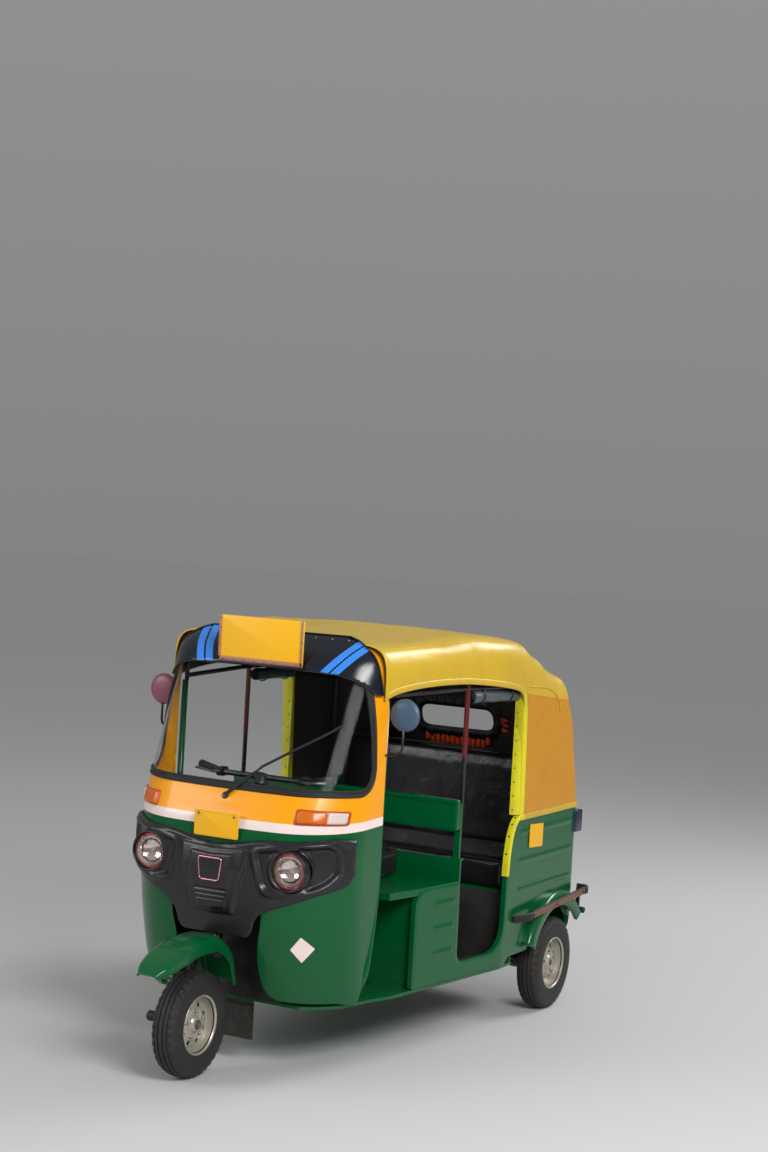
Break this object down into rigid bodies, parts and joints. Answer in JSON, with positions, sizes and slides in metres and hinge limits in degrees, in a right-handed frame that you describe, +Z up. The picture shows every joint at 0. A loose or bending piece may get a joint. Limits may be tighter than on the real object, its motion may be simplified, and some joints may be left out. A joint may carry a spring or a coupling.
{
  "type": "auto rickshaw",
  "caption": "Three-wheeled passenger auto rickshaw with a rounded nose, raked windscreen, open sides, driver's seat, rear bench and a soft hood over bows.",
  "frame": {"origin": "on the ground under the middle of the vehicle's bounding box, midway between the axles", "axes": "+X forward, +Y to the vehicle's left, +Z up"},
  "size_m": [2.635, 1.3, 1.743],
  "materials": {
    "green_paint": "glossy enamel",
    "yellow_paint": "glossy enamel",
    "white_paint": "glossy enamel",
    "black_plastic": "satin moulded",
    "black_paint": "semi-gloss",
    "black_rubber": "matt",
    "black_vinyl": "glossy coated cloth",
    "yellow_vinyl": "coated canvas",
    "screen_glass": "clear laminated",
    "lamp_glass": "clear moulded lens",
    "amber_lens": "translucent moulded",
    "red_lens": "translucent moulded",
    "plate_yellow": "blank enamel",
    "bright_metal": "polished",
    "grey_steel": "bare steel",
    "cast_metal": "rough cast",
    "silver_paint": "silver enamel",
    "tyre_rubber": "matt",
    "mirror_shell": "gloss shell",
    "sign_yellow": "painted board"
  },
  "bodies": {
    "body": {"floor_pan": "green_paint", "front_apron": "green_paint", "waist_stripe": "white_paint", "cowl": "yellow_paint", "windscreen_seal": "black_rubber", "windscreen": "screen_glass", "wheel_recess": "black_paint", "fascia": "black_plastic", "headlamps": "lamp_glass", "front_indicators": "amber_lens", "front_plate": "plate_yellow", "wiper": "black_paint", "dashboard": "black_plastic", "visor": "black_vinyl", "sign_board": "sign_yellow", "door_posts": "green_paint", "side_panels": "green_paint", "seat_box": "green_paint", "driver_seat": "black_vinyl", "partition": "green_paint", "driver_backrest": "green_paint", "rear_sides": "green_paint", "back_panel": "green_paint", "tail_lamps": "red_lens", "wheel_houses": "black_paint", "bench_base": "green_paint", "passenger_seat": "black_vinyl", "passenger_backrest": "black_vinyl", "backrest_frame": "black_paint", "entry_sills": "green_paint", "rear_fenders": "green_paint", "side_guards": "black_paint", "rear_bumper": "black_paint", "canopy_roof": "yellow_vinyl", "canopy_sides": "yellow_vinyl", "canopy_back": "yellow_vinyl", "rear_window": "screen_glass", "roof_frame": "black_paint", "curtain_rolls": "black_vinyl", "mirrors": "mirror_shell", "mud_flap": "black_rubber", "engine_block": "cast_metal", "exhaust": "grey_steel", "rear_suspension": "black_paint"},
    "fork": {"front_fork": "black_paint", "handlebar": "black_paint", "front_damper": "grey_steel", "front_mudguard": "green_paint"},
    "front_wheel": {"front_tyre": "tyre_rubber", "front_rim": "silver_paint"},
    "rear_left_wheel": {"rear_left_tyre": "tyre_rubber", "rear_left_rim": "silver_paint"},
    "rear_right_wheel": {"rear_right_tyre": "tyre_rubber", "rear_right_rim": "silver_paint"},
    "rear_lid": {"engine_lid": "green_paint"}
  },
  "joints": [
    {"name": "steering", "type": "hinge", "parent": "body", "child": "fork", "pos_m": [0.975, 0, 0.205], "axis": [-0.4067, 0, 0.9135], "range_deg": [-36, 36]},
    {"name": "front_wheel_spin", "type": "hinge", "parent": "fork", "child": "front_wheel", "pos_m": [1, 0, 0.205], "axis": [0, 1, 0], "continuous": true},
    {"name": "rear_left_wheel_spin", "type": "hinge", "parent": "body", "child": "rear_left_wheel", "pos_m": [-1, 0.575, 0.205], "axis": [0, 1, 0], "continuous": true},
    {"name": "rear_right_wheel_spin", "type": "hinge", "parent": "body", "child": "rear_right_wheel", "pos_m": [-1, -0.575, 0.205], "axis": [0, 1, 0], "continuous": true},
    {"name": "rear_lid_hinge", "type": "hinge", "parent": "body", "child": "rear_lid", "pos_m": [-1.255, 0, 0.698], "axis": [0, 1, 0], "range_deg": [0, 75]}
  ]
}
